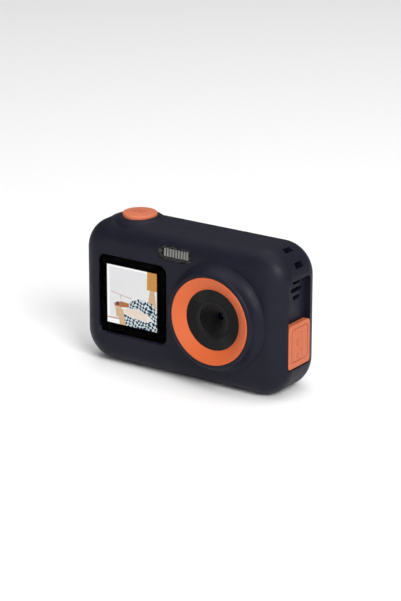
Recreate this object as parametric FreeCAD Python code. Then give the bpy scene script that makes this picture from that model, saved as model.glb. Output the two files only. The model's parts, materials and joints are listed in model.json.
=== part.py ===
import FreeCAD, Part
import math
import os

# Action camera, in millimetres. +X is to the right seen from the front, the lens looks along -Y, +Z is up.
# The origin is the mouth of the tripod socket, in the middle of the flat underside.

V = FreeCAD.Vector
ALONG_X = V(1, 0, 0)
ALONG_Y = V(0, 1, 0)
ALONG_Z = V(0, 0, 1)

# Body
BODY_WIDTH = 92.0
BODY_HEIGHT = 57.0
BODY_DEPTH = 27.0
CORNER_RADIUS = 12.5
FRONT_ROUNDING = 8.0
REAR_ROUNDING = 8.5
WALL = 2.0
PARTING_Y = 8.5
FRONT_Y = -BODY_DEPTH / 2
REAR_Y = BODY_DEPTH / 2
SIDE_X = BODY_WIDTH / 2
FIT_GAP = 0.1

# Lens group, around an axis parallel to Y
LENS_X = 17.5
LENS_Z = 28.6
RING_OUTER = 16.9
RING_INNER = 11.8
RING_FRONT_Y = -19.2
RING_INNER_Y = -16.65
RING_BACK_Y = -15.6
LIP_Y = -19.05
LIP_WIDTH = 0.75
SHOULDER_RADIUS = 18.7
SHOULDER_Y = -18.1
FOOT_RADIUS = 21.3
FOOT_STEP = 0.4
BEZEL_FRONT_Y = -16.5
BEZEL_OUTER = RING_INNER - 0.05
BEZEL_FLANGE = 14.4
BEZEL_SEAT_Y = -14.6
GASKET_SEAT_Y = -14.2
GASKET_SEAT_RADIUS = 14.5
BORE_RADIUS = 13.2
BAFFLE_RADIUS = 7.25
BAFFLE_CONE_RADIUS = 6.0
BAFFLE_CONE_Y = -16.0
BAFFLE_STEPS = 8
THROAT_RADIUS = 1.5
THROAT_Y = -11.05
BOSS_ROOT_Y = -11.0
BARREL_RADIUS = 7.0
BARREL_FRONT_Y = -9.5
BARREL_REAR_Y = -3.5
BARREL_THREADS = 8
BARREL_PITCH = 0.6
FIRST_ELEMENT = 3.3
LAST_ELEMENT = 4.2
HOLDER_FRONT_Y = -8.3
HOLDER_BASE_Y = -3.0

# Front display
SCREEN_X = -21.8
SCREEN_Z = 28.35
SCREEN_WIDTH = 31.4
SCREEN_HEIGHT = 31.1
SCREEN_CORNER = 3.0
SCREEN_SINK = 0.45
SCREEN_LIP = 0.5
GLASS = 0.95
FRONT_LCD_X = -22.7
FRONT_LCD_WIDTH = 27.0
FRONT_LCD_HEIGHT = 29.4

# Rear display
REAR_SCREEN_X = 11.5
REAR_SCREEN_WIDTH = 48.0
REAR_SCREEN_HEIGHT = 36.0
REAR_LCD_WIDTH = 44.6
REAR_LCD_HEIGHT = 33.4
FRAME_FRONT_Y = 9.3
FRAME_REAR_Y = 10.4
FRAME_EAR = 2.2

# Lamp, a pill-shaped window with nine light bars
LAMP_X = -1.9
LAMP_Z = 49.6
LAMP_LENGTH = 15.3
LAMP_HEIGHT = 5.36
BAR_COUNT = 9
BAR_PITCH = 1.265
BAR_WIDTH = 0.74
BAR_HEIGHT = 3.0
BAR_FRONT_Y = -12.15

# Shutter button, on the top face
SHUTTER_X = -27.0
SHUTTER_Y = -0.5
SHUTTER_RADIUS = 6.7
SHUTTER_TOP_Z = 59.0
COLLAR_TOP_Z = 58.05
COLLAR_RADIUS = 7.6
COLLAR_BARREL = 60.0

# Side recess with the port cover, the ports and the speaker slots
RECESS_FRONT_Y = -8.1
RECESS_REAR_Y = 6.1
RECESS_BOTTOM_Z = 11.3
RECESS_TOP_Z = 45.8
RECESS_DEPTH = 2.5
RECESS_CORNER = 2.0
RECESS_FLOOR_X = SIDE_X - RECESS_DEPTH
RECESS_BACK_X = RECESS_FLOOR_X - 2.1
COVER_TOP_Z = 29.0
COVER_BACK_X = 44.0
PIN_X = 44.78
PIN_Z = 12.6
PIN_RADIUS = 0.35
BORDER_INSET = 1.5
BORDER_WIDTH = 0.35
BORDER_DEPTH = 0.25
KNUCKLE_RADIUS = 1.2
SLOT_HEIGHT = 1.7
SPEAKER_SLOTS = ((44.1, 4.8), (41.1, 7.4), (38.1, 4.8))

# Lanyard bar, across the upper corner beside the recess
LANYARD_FRONT_Y = -2.25
LANYARD_REAR_Y = 2.6
LANYARD_ANGLES = (29.8, 61.7)
LANYARD_HALF_ANGLE = 5.5
TUNNEL_INNER = 8.0
TUNNEL_OUTER = 10.3

# Inner floor of the case, behind the front face and in front of the rear one
FRONT_FLOOR_Y = -12.5
REAR_FLOOR_Y = 12.5

# Ports on the main board
BOARD_FRONT_Y = -1.0
BOARD_REAR_Y = 0.0
USB_Z = 20.1
USB_Y = -2.65
USB_LENGTH = 9.0
USB_THICK = 3.26
USB_SHELL = 0.32
CARD_Z = 20.3
CARD_Y = 1.15
CARD_WIDTH = 11.0
CARD_THICK = 0.8
CARD_LENGTH = 15.0
CARD_END_X = 41.6

# Tripod socket, a quarter-inch 20-thread insert
INSERT_RADIUS = 4.2
INSERT_LENGTH = 7.6
THREAD_MINOR_RADIUS = 2.55
THREAD_DEPTH = 6.9

# Rear keys: name, x, z, radius
PAD_X = -25.2
PAD_Z = 24.0
PAD_REACH = 8.4
SMALL_KEY = 2.6
OK_KEY = 4.0
KEYS = (
    ("key_up", PAD_X, PAD_Z + PAD_REACH, SMALL_KEY),
    ("key_down", PAD_X, PAD_Z - PAD_REACH, SMALL_KEY),
    ("key_left", PAD_X + PAD_REACH, PAD_Z, SMALL_KEY),
    ("key_right", PAD_X - PAD_REACH, PAD_Z, SMALL_KEY),
    ("key_ok", PAD_X, PAD_Z, OK_KEY),
    ("key_power", PAD_X - 5.8, 42.5, SMALL_KEY),
    ("key_mode", PAD_X + 5.7, 42.5, SMALL_KEY),
)
KEY_PROUD = 0.7
KEY_GAP = 0.1
FLANGE_EXTRA = 0.6
FLANGE_REAR_Y = 11.4
FLANGE_FRONT_Y = 10.9
SWITCH_TOP_Y = 10.2
KEY_BOARD_FRONT_Y = 8.6
KEY_BOARD_REAR_Y = 9.4
STATUS_X = PAD_X
STATUS_Z = 42.5
STATUS_RADIUS = 0.75
MIC_X = -30.2
MIC_Z = 11.6

# Screws: long ones hold the two shells, short ones hold everything inside
CASE_SCREWS = ((-37.0, 50.2), (31.0, 50.2), (-37.0, 6.8), (36.5, 6.8))
CASE_BOSS = 2.6
CASE_HEAD_Y = 9.6
CASE_HEAD_RADIUS = 1.85
CASE_SHANK = 0.95
BOARD_POSTS = ((0.5, 44.4), (31.5, 43.4), (0.5, 12.0), (31.0, 11.9))
TRAY_POSTS = ((-20.0, 9.3), (-14.0, 47.7))
LENS_HOLDER_SCREWS = ((LENS_X - 8.0, LENS_Z + 8.0), (LENS_X + 8.0, LENS_Z + 8.0))
FRAME_POSTS = ((-6.0, 48.3), (22.0, 48.3), (10.0, 8.7), (28.0, 8.7))
KEY_POSTS = ((-34.4, 33.5), (-16.0, 33.5), (-34.4, 14.0), (-16.0, 14.0))
POST_RADIUS = 2.1
SHORT_SHANK = 0.75
SHORT_LENGTH = 3.0
SHORT_HEAD = 1.5
SHORT_HEAD_HEIGHT = 0.8

# Battery and its tray, behind the front display
TRAY_LEFT = -40.0
TRAY_RIGHT = -4.6
TRAY_BOTTOM = 11.0
TRAY_TOP = 46.0
TRAY_FRONT_Y = -10.55
TRAY_REAR_Y = 2.0
TRAY_WALL = 1.0
LEAD_RADIUS = 0.4


# ---------------------------------------------------------------- building blocks

def box(x0, x1, y0, y1, z0, z1):
    return Part.makeBox(x1 - x0, y1 - y0, z1 - z0, V(x0, y0, z0))


def rod(x, z, radius, y0, y1):
    """A cylinder along Y."""
    return Part.makeCylinder(radius, y1 - y0, V(x, y0, z), ALONG_Y)


def round_edges(solid, radius, axis):
    """Round the edges that run along one axis of a block."""
    edges = [e for e in solid.Edges if abs(e.tangentAt(e.FirstParameter).dot(axis)) > 0.99]
    return solid.makeFillet(radius, edges)


def plate(x, z, width, height, corner, y0, y1):
    """A rounded rectangle centred on x, z, thick along Y."""
    block = box(x - width / 2, x + width / 2, y0, y1, z - height / 2, z + height / 2)
    return round_edges(block, corner, ALONG_Y)


def pill(x, z, length, height, y0, y1):
    """A stadium shape, thick along Y."""
    reach = (length - height) / 2
    middle = box(x - reach, x + reach, y0, y1, z - height / 2, z + height / 2)
    ends = [rod(x + side * reach, z, height / 2, y0, y1) for side in (-1, 1)]
    return middle.fuse(ends).removeSplitter()


def side_slot(y, z, length, height, x0, x1):
    """A stadium-shaped hole cutter along X, long in Y."""
    reach = (length - height) / 2
    middle = box(x0, x1, y - reach, y + reach, z - height / 2, z + height / 2)
    ends = [
        Part.makeCylinder(height / 2, x1 - x0, V(x0, y + side * reach, z), ALONG_X)
        for side in (-1, 1)
    ]
    return middle.fuse(ends)


def outline(start, steps, point):
    """A closed wire: each step is an end point, or a pair of a middle and an end point for an arc."""
    edges = []
    here = start
    for step in steps:
        if isinstance(step[0], tuple):
            middle, end = step
            edges.append(Part.Arc(point(here), point(middle), point(end)).toShape())
        else:
            end = step
            edges.append(Part.LineSegment(point(here), point(end)).toShape())
        here = end
    if here != start:
        edges.append(Part.LineSegment(point(here), point(start)).toShape())
    return Part.Wire(edges)


def dome(rim_radius, rim_level, top_level):
    """The arc of a shallow dome from its rim to the axis, as a middle and an end point."""
    rise = top_level - rim_level
    sphere = (rim_radius ** 2 + rise ** 2) / (2 * rise)
    half = rim_radius / 2
    drop = sphere - math.copysign(math.sqrt(sphere ** 2 - half ** 2), rise)
    return (half, top_level - drop), (0, top_level)


def turned(start, steps, x=LENS_X, z=LENS_Z):
    """A body of revolution around an axis along Y; its points are (radius, y)."""
    wire = outline(start, steps, lambda p: V(p[0], p[1], 0))
    solid = Part.Face(wire).revolve(V(0, 0, 0), ALONG_Y, 360)
    solid.translate(V(x, 0, z))
    return solid


def turned_upright(start, steps, x, y):
    """A body of revolution around an upright axis; its points are (radius, z)."""
    wire = outline(start, steps, lambda p: V(p[0], 0, p[1]))
    solid = Part.Face(wire).revolve(V(0, 0, 0), ALONG_Z, 360)
    solid.translate(V(x, y, 0))
    return solid


def rim_edges(solid, y):
    """The edges that lie in the plane at y."""
    return [e for e in solid.Edges if all(abs(v.Point.y - y) < 0.001 for v in e.Vertexes)]


def body_form(grow=0.0):
    """The whole outside shape, grown or shrunk evenly."""
    form = box(
        -SIDE_X - grow, SIDE_X + grow, FRONT_Y - grow, REAR_Y + grow, -grow, BODY_HEIGHT + grow
    )
    form = round_edges(form, CORNER_RADIUS + grow, ALONG_Y)
    for face_y, radius in ((FRONT_Y - grow, FRONT_ROUNDING), (REAR_Y + grow, REAR_ROUNDING)):
        form = form.makeFillet(radius + grow, rim_edges(form, face_y))
    return form


def ribbon(runs, thick, side0, side1, along_x):
    """A flat cable of straight runs between (a, b) points, wide from side0 to side1.

    With along_x it is wide along X and its points are (y, z); otherwise it is wide along Z and
    its points are (x, y).
    """
    half = thick / 2
    pieces = []
    for (a0, b0), (a1, b1) in zip(runs, runs[1:]):
        low_a, high_a = min(a0, a1) - half, max(a0, a1) + half
        low_b, high_b = min(b0, b1) - half, max(b0, b1) + half
        if along_x:
            pieces.append(box(side0, side1, low_a, high_a, low_b, high_b))
        else:
            pieces.append(box(low_a, high_a, low_b, high_b, side0, side1))
    return pieces[0].fuse(pieces[1:]).removeSplitter()


def short_screw(x, z, seat_y, towards):
    """A small pan-head screw along Y, its head on seat_y and its shank pointing towards -Y or +Y."""
    head_start = min(seat_y, seat_y - towards * SHORT_HEAD_HEIGHT)
    shank_start = min(seat_y, seat_y + towards * SHORT_LENGTH)
    head = rod(x, z, SHORT_HEAD, head_start, head_start + SHORT_HEAD_HEIGHT)
    shank = rod(x, z, SHORT_SHANK, shank_start, shank_start + SHORT_LENGTH)
    slot_y = head_start if towards > 0 else head_start + SHORT_HEAD_HEIGHT - 0.4
    cross = box(x - 0.9, x + 0.9, slot_y, slot_y + 0.4, z - 0.15, z + 0.15)
    cross = cross.fuse(box(x - 0.15, x + 0.15, slot_y, slot_y + 0.4, z - 0.9, z + 0.9))
    return head.fuse(shank).cut(cross)


def screw_hole(x, z, clearance, y0, y1):
    """A cutter for a short screw's shank."""
    return rod(x, z, SHORT_SHANK + clearance, y0, y1)


# ---------------------------------------------------------------- shells

def lens_boss():
    """The flared surround that rises from the front wall to hold the lens trim."""
    seat_radius = RING_OUTER + FIT_GAP
    foot_y = FRONT_Y - FOOT_STEP
    return turned(
        (BORE_RADIUS, BOSS_ROOT_Y),
        [
            (BORE_RADIUS, GASKET_SEAT_Y),
            (GASKET_SEAT_RADIUS, GASKET_SEAT_Y),
            (GASKET_SEAT_RADIUS, RING_BACK_Y),
            (seat_radius, RING_BACK_Y),
            (seat_radius, LIP_Y + 0.15),
            (seat_radius + 0.15, LIP_Y),
            (seat_radius + LIP_WIDTH, LIP_Y),
            ((SHOULDER_RADIUS - 0.27, LIP_Y + 0.3), (SHOULDER_RADIUS, SHOULDER_Y)),
            ((SHOULDER_RADIUS + 0.7, SHOULDER_Y + 2.4), (FOOT_RADIUS - FOOT_STEP, foot_y)),
            ((FOOT_RADIUS - 0.12, foot_y + 0.12), (FOOT_RADIUS, FRONT_Y)),
            (FOOT_RADIUS, FRONT_Y + 0.5),
            (FOOT_RADIUS - 0.9, BOSS_ROOT_Y),
        ],
    )


def shutter_collar():
    """A flare that lifts the top face around the shutter button, its rim lower front and back."""
    sections = (
        (COLLAR_RADIUS, COLLAR_RADIUS, COLLAR_TOP_Z),
        (8.5, 8.2, 57.5),
        (10.8, 9.2, 56.6),
        (13.0, 10.3, 55.0),
        (13.8, 10.7, 53.6),
    )
    wires = []
    for reach_x, reach_y, z in sections:
        circle = Part.Wire(Part.Circle(V(0, 0, 0), ALONG_Z, 1.0).toShape())
        stretch = FreeCAD.Matrix()
        stretch.scale(V(reach_x, reach_y, 1))
        wire = circle.transformGeometry(stretch)
        wire.translate(V(SHUTTER_X, SHUTTER_Y, z))
        wires.append(wire)
    barrel = Part.makeCylinder(
        COLLAR_BARREL, BODY_WIDTH, V(-BODY_WIDTH, SHUTTER_Y, COLLAR_TOP_Z - COLLAR_BARREL), ALONG_X
    )
    return Part.makeLoft(wires, True, False).common(barrel)


def recess_cutter():
    y_middle = (RECESS_FRONT_Y + RECESS_REAR_Y) / 2
    block = box(
        RECESS_FLOOR_X, SIDE_X + 2, RECESS_FRONT_Y, RECESS_REAR_Y, RECESS_BOTTOM_Z, RECESS_TOP_Z
    )
    upper = [
        e for e in block.Edges
        if abs(e.tangentAt(e.FirstParameter).x) > 0.99 and e.CenterOfMass.z > RECESS_TOP_Z - 1
    ]
    cutter = block.makeFillet(RECESS_CORNER, upper)
    for z, length in SPEAKER_SLOTS:
        slot = side_slot(y_middle + 1.0, z, length, SLOT_HEIGHT, RECESS_BACK_X - 1, RECESS_FLOOR_X + 1)
        cutter = cutter.fuse(slot)
    usb_hole = box(
        RECESS_BACK_X - 1, RECESS_FLOOR_X + 1, USB_Y - 1.75, USB_Y + 1.75, USB_Z - 4.65, USB_Z + 4.65
    )
    card_hole = box(
        RECESS_BACK_X - 1, RECESS_FLOOR_X + 1, CARD_Y - 0.75, CARD_Y + 0.75, CARD_Z - 5.9, CARD_Z + 5.9
    )
    return cutter.fuse([round_edges(usb_hole, 1.5, ALONG_X), card_hole])


def pin_hole(radius, front_y, rear_y):
    return rod(PIN_X, PIN_Z, radius, front_y, rear_y)


def corner_sector(inner, outer, angle0, angle1, y0, y1):
    """Part of a ring around the upper corner's axis, between two angles above horizontal."""
    def point(polar):
        radius, angle = polar
        turn = math.radians(angle)
        x = SIDE_X - CORNER_RADIUS + radius * math.cos(turn)
        z = BODY_HEIGHT - CORNER_RADIUS + radius * math.sin(turn)
        return V(x, y0, z)

    middle = (angle0 + angle1) / 2
    wire = outline(
        (outer, angle0),
        [((outer, middle), (outer, angle1)), (inner, angle1), ((inner, middle), (inner, angle0))],
        point,
    )
    return Part.Face(wire).extrude(V(0, y1 - y0, 0))


def lanyard_cutter():
    low, high = LANYARD_ANGLES
    tunnel = corner_sector(
        TUNNEL_INNER, TUNNEL_OUTER, low - LANYARD_HALF_ANGLE, high + LANYARD_HALF_ANGLE,
        LANYARD_FRONT_Y, LANYARD_REAR_Y,
    )
    mouths = [
        corner_sector(
            TUNNEL_INNER, CORNER_RADIUS + 1, angle - LANYARD_HALF_ANGLE, angle + LANYARD_HALF_ANGLE,
            LANYARD_FRONT_Y, LANYARD_REAR_Y,
        )
        for angle in LANYARD_ANGLES
    ]
    return tunnel.fuse(mouths)


def screen_opening(x, z, width, height, lcd_x, lcd_width, lcd_height, front, sign):
    """A stepped window opening: a chamfered mouth, a seat for the glass, a hole for the display."""
    spread = 2 * (FIT_GAP + SCREEN_LIP)
    lip_end = front + sign * SCREEN_LIP
    mouth = plate(
        x, z, width + spread, height + spread, SCREEN_CORNER + SCREEN_LIP,
        *sorted((front - sign, lip_end)),
    )
    mouth = mouth.makeChamfer(SCREEN_LIP - 0.01, rim_edges(mouth, lip_end))
    seat_depth = SCREEN_SINK + GLASS + 0.05
    seat = plate(
        x, z, width + 2 * FIT_GAP, height + 2 * FIT_GAP, SCREEN_CORNER,
        *sorted((front - sign, front + sign * seat_depth)),
    )
    hole = plate(
        lcd_x, z, lcd_width + 0.4, lcd_height + 0.4, 0.6,
        *sorted((front, front + sign * (WALL + 1.5))),
    )
    return seat.fuse([hole, mouth])


def gasket_ring(inset0, inset1, y0):
    rings = [
        plate(
            0, BODY_HEIGHT / 2, BODY_WIDTH - 2 * inset, BODY_HEIGHT - 2 * inset,
            CORNER_RADIUS - inset, y0, PARTING_Y,
        )
        for inset in (inset0, inset1)
    ]
    return rings[0].cut(rings[1])


def front_shell():
    form = body_form()
    cavity = body_form(-WALL)
    behind = box(-60, 60, PARTING_Y, 40, -10, 80)
    hidden_blocks = [
        box(RECESS_BACK_X, 50, RECESS_FRONT_Y - 2, PARTING_Y, RECESS_BOTTOM_Z - 2, RECESS_TOP_Z + 1.6),
        corner_sector(6.8, 12.4, 17, 75, LANYARD_FRONT_Y - 1.2, LANYARD_REAR_Y + 1.2),
        Part.makeCylinder(6.0, 7.6, V(0, 0, 1), ALONG_Z),
    ]
    hidden_blocks += [rod(x, z, CASE_BOSS, FRONT_FLOOR_Y, PARTING_Y) for x, z in CASE_SCREWS]
    hidden_blocks += [rod(x, z, POST_RADIUS, FRONT_FLOOR_Y, BOARD_FRONT_Y) for x, z in BOARD_POSTS]
    hidden_blocks += [rod(x, z, POST_RADIUS, FRONT_FLOOR_Y, TRAY_FRONT_Y) for x, z in TRAY_POSTS]
    inside = hidden_blocks[0].fuse(hidden_blocks[1:]).common(form)

    shell = form.cut(cavity).fuse(inside)
    shell = shell.fuse([lens_boss(), shutter_collar().cut(cavity), lamp_rim()])
    cutters = [
        behind,
        rod(LENS_X, LENS_Z, BORE_RADIUS, -20, -10.9),
        rod(LENS_X, LENS_Z, RING_OUTER + FIT_GAP, -20, RING_BACK_Y),
        rod(LENS_X, LENS_Z, GASKET_SEAT_RADIUS, -20, GASKET_SEAT_Y),
        screen_opening(
            SCREEN_X, SCREEN_Z, SCREEN_WIDTH, SCREEN_HEIGHT,
            FRONT_LCD_X, FRONT_LCD_WIDTH, FRONT_LCD_HEIGHT, FRONT_Y, 1,
        ),
        pill(LAMP_X, LAMP_Z, LAMP_LENGTH + 2 * FIT_GAP, LAMP_HEIGHT + 2 * FIT_GAP, -16, -9),
        Part.makeCylinder(SHUTTER_RADIUS + 0.2, 12, V(SHUTTER_X, SHUTTER_Y, 50), ALONG_Z),
        Part.makeCylinder(8.0, 5, V(SHUTTER_X, SHUTTER_Y, 50), ALONG_Z),
        recess_cutter(),
        pin_hole(PIN_RADIUS + 0.03, RECESS_FRONT_Y - 0.5, RECESS_REAR_Y + 1.2),
        lanyard_cutter(),
        Part.makeCylinder(INSERT_RADIUS + 0.03, INSERT_LENGTH + 1, V(0, 0, -1), ALONG_Z),
        gasket_ring(1.25, 2.15, PARTING_Y - 0.9),
    ]
    cutters += [rod(x, z, CASE_SHANK + 0.02, -1.0, PARTING_Y + 1) for x, z in CASE_SCREWS]
    cutters += [screw_hole(x, z, 0.02, -4.0, 0) for x, z in BOARD_POSTS]
    cutters += [screw_hole(x, z, 0.02, -12.9, -9) for x, z in TRAY_POSTS]
    for cutter in cutters:
        shell = shell.cut(cutter)
    return shell.removeSplitter()


def rear_shell():
    form = body_form()
    cavity = body_form(-WALL)
    ahead = box(-60, 60, -40, PARTING_Y, -10, 80)
    blocks = [rod(x, z, CASE_BOSS + 0.5, PARTING_Y, REAR_FLOOR_Y) for x, z in CASE_SCREWS]
    blocks += [rod(x, z, POST_RADIUS - 0.3, FRAME_REAR_Y, REAR_FLOOR_Y) for x, z in FRAME_POSTS]
    blocks += [rod(x, z, POST_RADIUS - 0.6, KEY_BOARD_REAR_Y, REAR_FLOOR_Y) for x, z in KEY_POSTS]
    inside = blocks[0].fuse(blocks[1:]).common(form)
    shell = form.cut(cavity).fuse(inside)
    cutters = [
        ahead,
        screen_opening(
            REAR_SCREEN_X, SCREEN_Z, REAR_SCREEN_WIDTH, REAR_SCREEN_HEIGHT,
            REAR_SCREEN_X, REAR_LCD_WIDTH, REAR_LCD_HEIGHT, REAR_Y, -1,
        ),
        rod(STATUS_X, STATUS_Z, STATUS_RADIUS + 0.05, 9, 20),
        rod(MIC_X, MIC_Z, 0.5, 9, 20),
    ]
    cutters += [rod(x, z, radius + KEY_GAP, 9, 20) for name, x, z, radius in KEYS]
    cutters += [rod(x, z, CASE_SHANK + 0.15, 5, 20) for x, z in CASE_SCREWS]
    cutters += [rod(x, z, CASE_HEAD_RADIUS + 0.2, CASE_HEAD_Y, 20) for x, z in CASE_SCREWS]
    cutters += [screw_hole(x, z, 0.02, 8, 12.35) for x, z in FRAME_POSTS]
    cutters += [screw_hole(x, z, 0.02, 8, 12.0) for x, z in KEY_POSTS]
    for cutter in cutters:
        shell = shell.cut(cutter)
    return shell.removeSplitter()


def shell_gasket():
    return gasket_ring(1.3, 2.1, PARTING_Y - 0.85)


def case_screws():
    screws = []
    for x, z in CASE_SCREWS:
        screw = rod(x, z, CASE_HEAD_RADIUS, CASE_HEAD_Y, CASE_HEAD_Y + 1.3)
        screw = screw.fuse(rod(x, z, CASE_SHANK, CASE_HEAD_Y - 9.0, CASE_HEAD_Y))
        cross = box(x - 1.1, x + 1.1, CASE_HEAD_Y + 0.7, CASE_HEAD_Y + 2, z - 0.2, z + 0.2)
        cross = cross.fuse(box(x - 0.2, x + 0.2, CASE_HEAD_Y + 0.7, CASE_HEAD_Y + 2, z - 1.1, z + 1.1))
        screws.append(screw.cut(cross))
    return Part.makeCompound(screws)


def tripod_insert():
    """A blind brass bush with a knurl-retaining waist."""
    waist = INSERT_RADIUS - 0.4
    return turned_upright(
        (THREAD_MINOR_RADIUS, 0),
        [
            (INSERT_RADIUS, 0),
            (INSERT_RADIUS, 3.2),
            (waist, 3.2),
            (waist, 4.4),
            (INSERT_RADIUS, 4.4),
            (INSERT_RADIUS, INSERT_LENGTH),
            (0, INSERT_LENGTH),
            (0, THREAD_DEPTH),
            (THREAD_MINOR_RADIUS, THREAD_DEPTH),
        ],
        0, 0,
    )


# ---------------------------------------------------------------- lens group

def lens_ring():
    """The orange trim, dished from its front edge down to the bezel."""
    return turned(
        (RING_INNER, RING_BACK_Y),
        [
            (RING_INNER, RING_INNER_Y + 0.1),
            ((RING_INNER + 0.03, RING_INNER_Y), (RING_INNER + 0.12, RING_INNER_Y - 0.07)),
            ((14.3, -18.25), (RING_OUTER - 0.5, RING_FRONT_Y + 0.03)),
            ((RING_OUTER - 0.12, RING_FRONT_Y + 0.05), (RING_OUTER, RING_FRONT_Y + 0.25)),
            (RING_OUTER, RING_BACK_Y),
        ],
    )


def lens_bezel():
    """The black face between the trim and the funnel, with a flange behind the trim."""
    return turned(
        (BAFFLE_RADIUS + 0.05, BEZEL_SEAT_Y),
        [
            (BAFFLE_RADIUS + 0.05, BEZEL_FRONT_Y + 0.1),
            (BAFFLE_RADIUS + 0.15, BEZEL_FRONT_Y),
            (BEZEL_OUTER, BEZEL_FRONT_Y),
            (BEZEL_OUTER, RING_BACK_Y),
            (BEZEL_FLANGE, RING_BACK_Y),
            (BEZEL_FLANGE, BEZEL_SEAT_Y),
        ],
    )


def lens_gasket():
    inner = BORE_RADIUS + 0.1
    return turned(
        (inner, BEZEL_SEAT_Y),
        [(BEZEL_FLANGE, BEZEL_SEAT_Y), (BEZEL_FLANGE, GASKET_SEAT_Y), (inner, GASKET_SEAT_Y)],
    )


def lens_baffle():
    """A black funnel that stops stray light: a plain cone, then steps down to the throat."""
    mouth_y = BEZEL_FRONT_Y + 0.05
    end_y = THROAT_Y + 0.3
    radius_drop = (BAFFLE_CONE_RADIUS - THROAT_RADIUS) / BAFFLE_STEPS
    step_length = (THROAT_Y - BAFFLE_CONE_Y) / BAFFLE_STEPS
    profile = [(BAFFLE_RADIUS, mouth_y), (BAFFLE_RADIUS - 0.12, mouth_y)]
    for i in range(BAFFLE_STEPS):
        radius = BAFFLE_CONE_RADIUS - radius_drop * i
        y = BAFFLE_CONE_Y + step_length * i
        shelf_y = y + step_length - 0.12
        profile += [(radius, y), (radius - 0.08, shelf_y), (radius - radius_drop, shelf_y)]
    profile += [(THROAT_RADIUS, THROAT_Y), (THROAT_RADIUS, end_y)]
    return turned((BAFFLE_RADIUS, end_y), profile)


def lens_barrel():
    """The threaded barrel that carries the glass and screws into the holder to set the focus."""
    profile = [(BARREL_RADIUS, BARREL_FRONT_Y)]
    for i in range(BARREL_THREADS):
        y = BARREL_FRONT_Y + 1.2 + i * BARREL_PITCH
        root = BARREL_RADIUS - 0.25
        profile += [(BARREL_RADIUS, y), (root, y + 0.15), (root, y + 0.3), (BARREL_RADIUS, y + 0.45)]
    profile += [
        (BARREL_RADIUS, BARREL_REAR_Y),
        (LAST_ELEMENT + 0.1, BARREL_REAR_Y),
        (LAST_ELEMENT + 0.1, -5.6),
        (FIRST_ELEMENT + 0.1, -5.6),
        (FIRST_ELEMENT + 0.1, -8.1),
        (FIRST_ELEMENT + 0.05, -8.1),
        (FIRST_ELEMENT + 0.05, BARREL_FRONT_Y),
    ]
    return turned(profile[0], profile[1:])


def lens_front_element():
    return turned(
        (0, -8.2),
        [(FIRST_ELEMENT, -8.2), (FIRST_ELEMENT, -9.1), dome(FIRST_ELEMENT, -9.1, -9.57)],
    )


def lens_rear_elements():
    middle = turned(
        (0, -6.0), [(FIRST_ELEMENT, -6.0), (FIRST_ELEMENT, -7.0), dome(FIRST_ELEMENT, -7.0, -7.5)]
    )
    last = turned(
        (0, -5.3), [(LAST_ELEMENT, -5.3), (LAST_ELEMENT, -4.3), dome(LAST_ELEMENT, -4.3, -3.9)]
    )
    return Part.makeCompound([middle, last])


def lens_holder():
    """The sleeve over the sensor, screwed to the front of the main board."""
    base = plate(LENS_X, LENS_Z, 20.5, 20.5, 2.0, HOLDER_BASE_Y, BOARD_FRONT_Y)
    sleeve = rod(LENS_X, LENS_Z, BARREL_RADIUS + 1.7, HOLDER_FRONT_Y, HOLDER_BASE_Y)
    cutters = [
        rod(LENS_X, LENS_Z, BARREL_RADIUS + 0.05, HOLDER_FRONT_Y - 1, BARREL_REAR_Y + 0.1),
        rod(LENS_X, LENS_Z, 3.6, HOLDER_BASE_Y - 1, 0),
        plate(LENS_X, LENS_Z, 10.4, 10.4, 0.4, HOLDER_BASE_Y + 0.1, 0),
    ]
    cutters += [screw_hole(x, z, 0.02, HOLDER_BASE_Y - 2, 0) for x, z in LENS_HOLDER_SCREWS]
    holder = base.fuse(sleeve)
    for cutter in cutters:
        holder = holder.cut(cutter)
    return holder.removeSplitter()


def infrared_filter():
    return plate(LENS_X, LENS_Z, 9.0, 9.0, 0.3, -2.85, -2.45)


def image_sensor():
    package = plate(LENS_X, LENS_Z, 8.6, 8.6, 0.3, -1.9, BOARD_FRONT_Y)
    die_well = plate(LENS_X, LENS_Z, 6.4, 5.4, 0.2, -2.0, -1.75)
    return package.cut(die_well)


# ---------------------------------------------------------------- boards

def main_board():
    board = plate(18.6, 28.1, 44.2, 36.6, 1.0, BOARD_FRONT_Y, BOARD_REAR_Y)
    board = board.cut(box(36.4, 50, -3, 3, 33.5, 60))
    for x, z in BOARD_POSTS + LENS_HOLDER_SCREWS:
        board = board.cut(screw_hole(x, z, 0.15, -3, 3))
    return board


def board_chips():
    rear = BOARD_REAR_Y
    front = BOARD_FRONT_Y
    chips = [
        plate(9.0, 29.3, 10.0, 10.0, 0.3, rear, rear + 1.0),
        plate(17.5, 20.2, 7.0, 12.0, 0.3, rear, rear + 1.0),
        plate(8.0, 19.0, 5.0, 6.0, 0.3, rear, rear + 0.9),
        plate(32.0, 36.0, 5.0, 5.0, 0.3, front - 0.9, front),
        plate(4.0, 28.0, 4.0, 6.0, 0.3, front - 0.9, front),
    ]
    return Part.makeCompound(chips)


def shield_can():
    outer = plate(12.6, 24.3, 19.8, 21.2, 1.0, BOARD_REAR_Y, BOARD_REAR_Y + 2.0)
    inner = plate(12.6, 24.3, 19.4, 20.8, 0.8, BOARD_REAR_Y, BOARD_REAR_Y + 1.8)
    return outer.cut(inner)


def board_connectors():
    connectors = [
        box(-3.2, -0.4, -2.5, BOARD_FRONT_Y, 23.0, 34.4),
        box(-1.6, 5.4, -4.0, BOARD_FRONT_Y, 38.2, 41.8),
        box(-2.0, 10.5, BOARD_REAR_Y, 1.3, 10.4, 12.8).cut(rod(0.5, 12.0, 2.2, -1, 3)),
    ]
    return Part.makeCompound(connectors)


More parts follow.
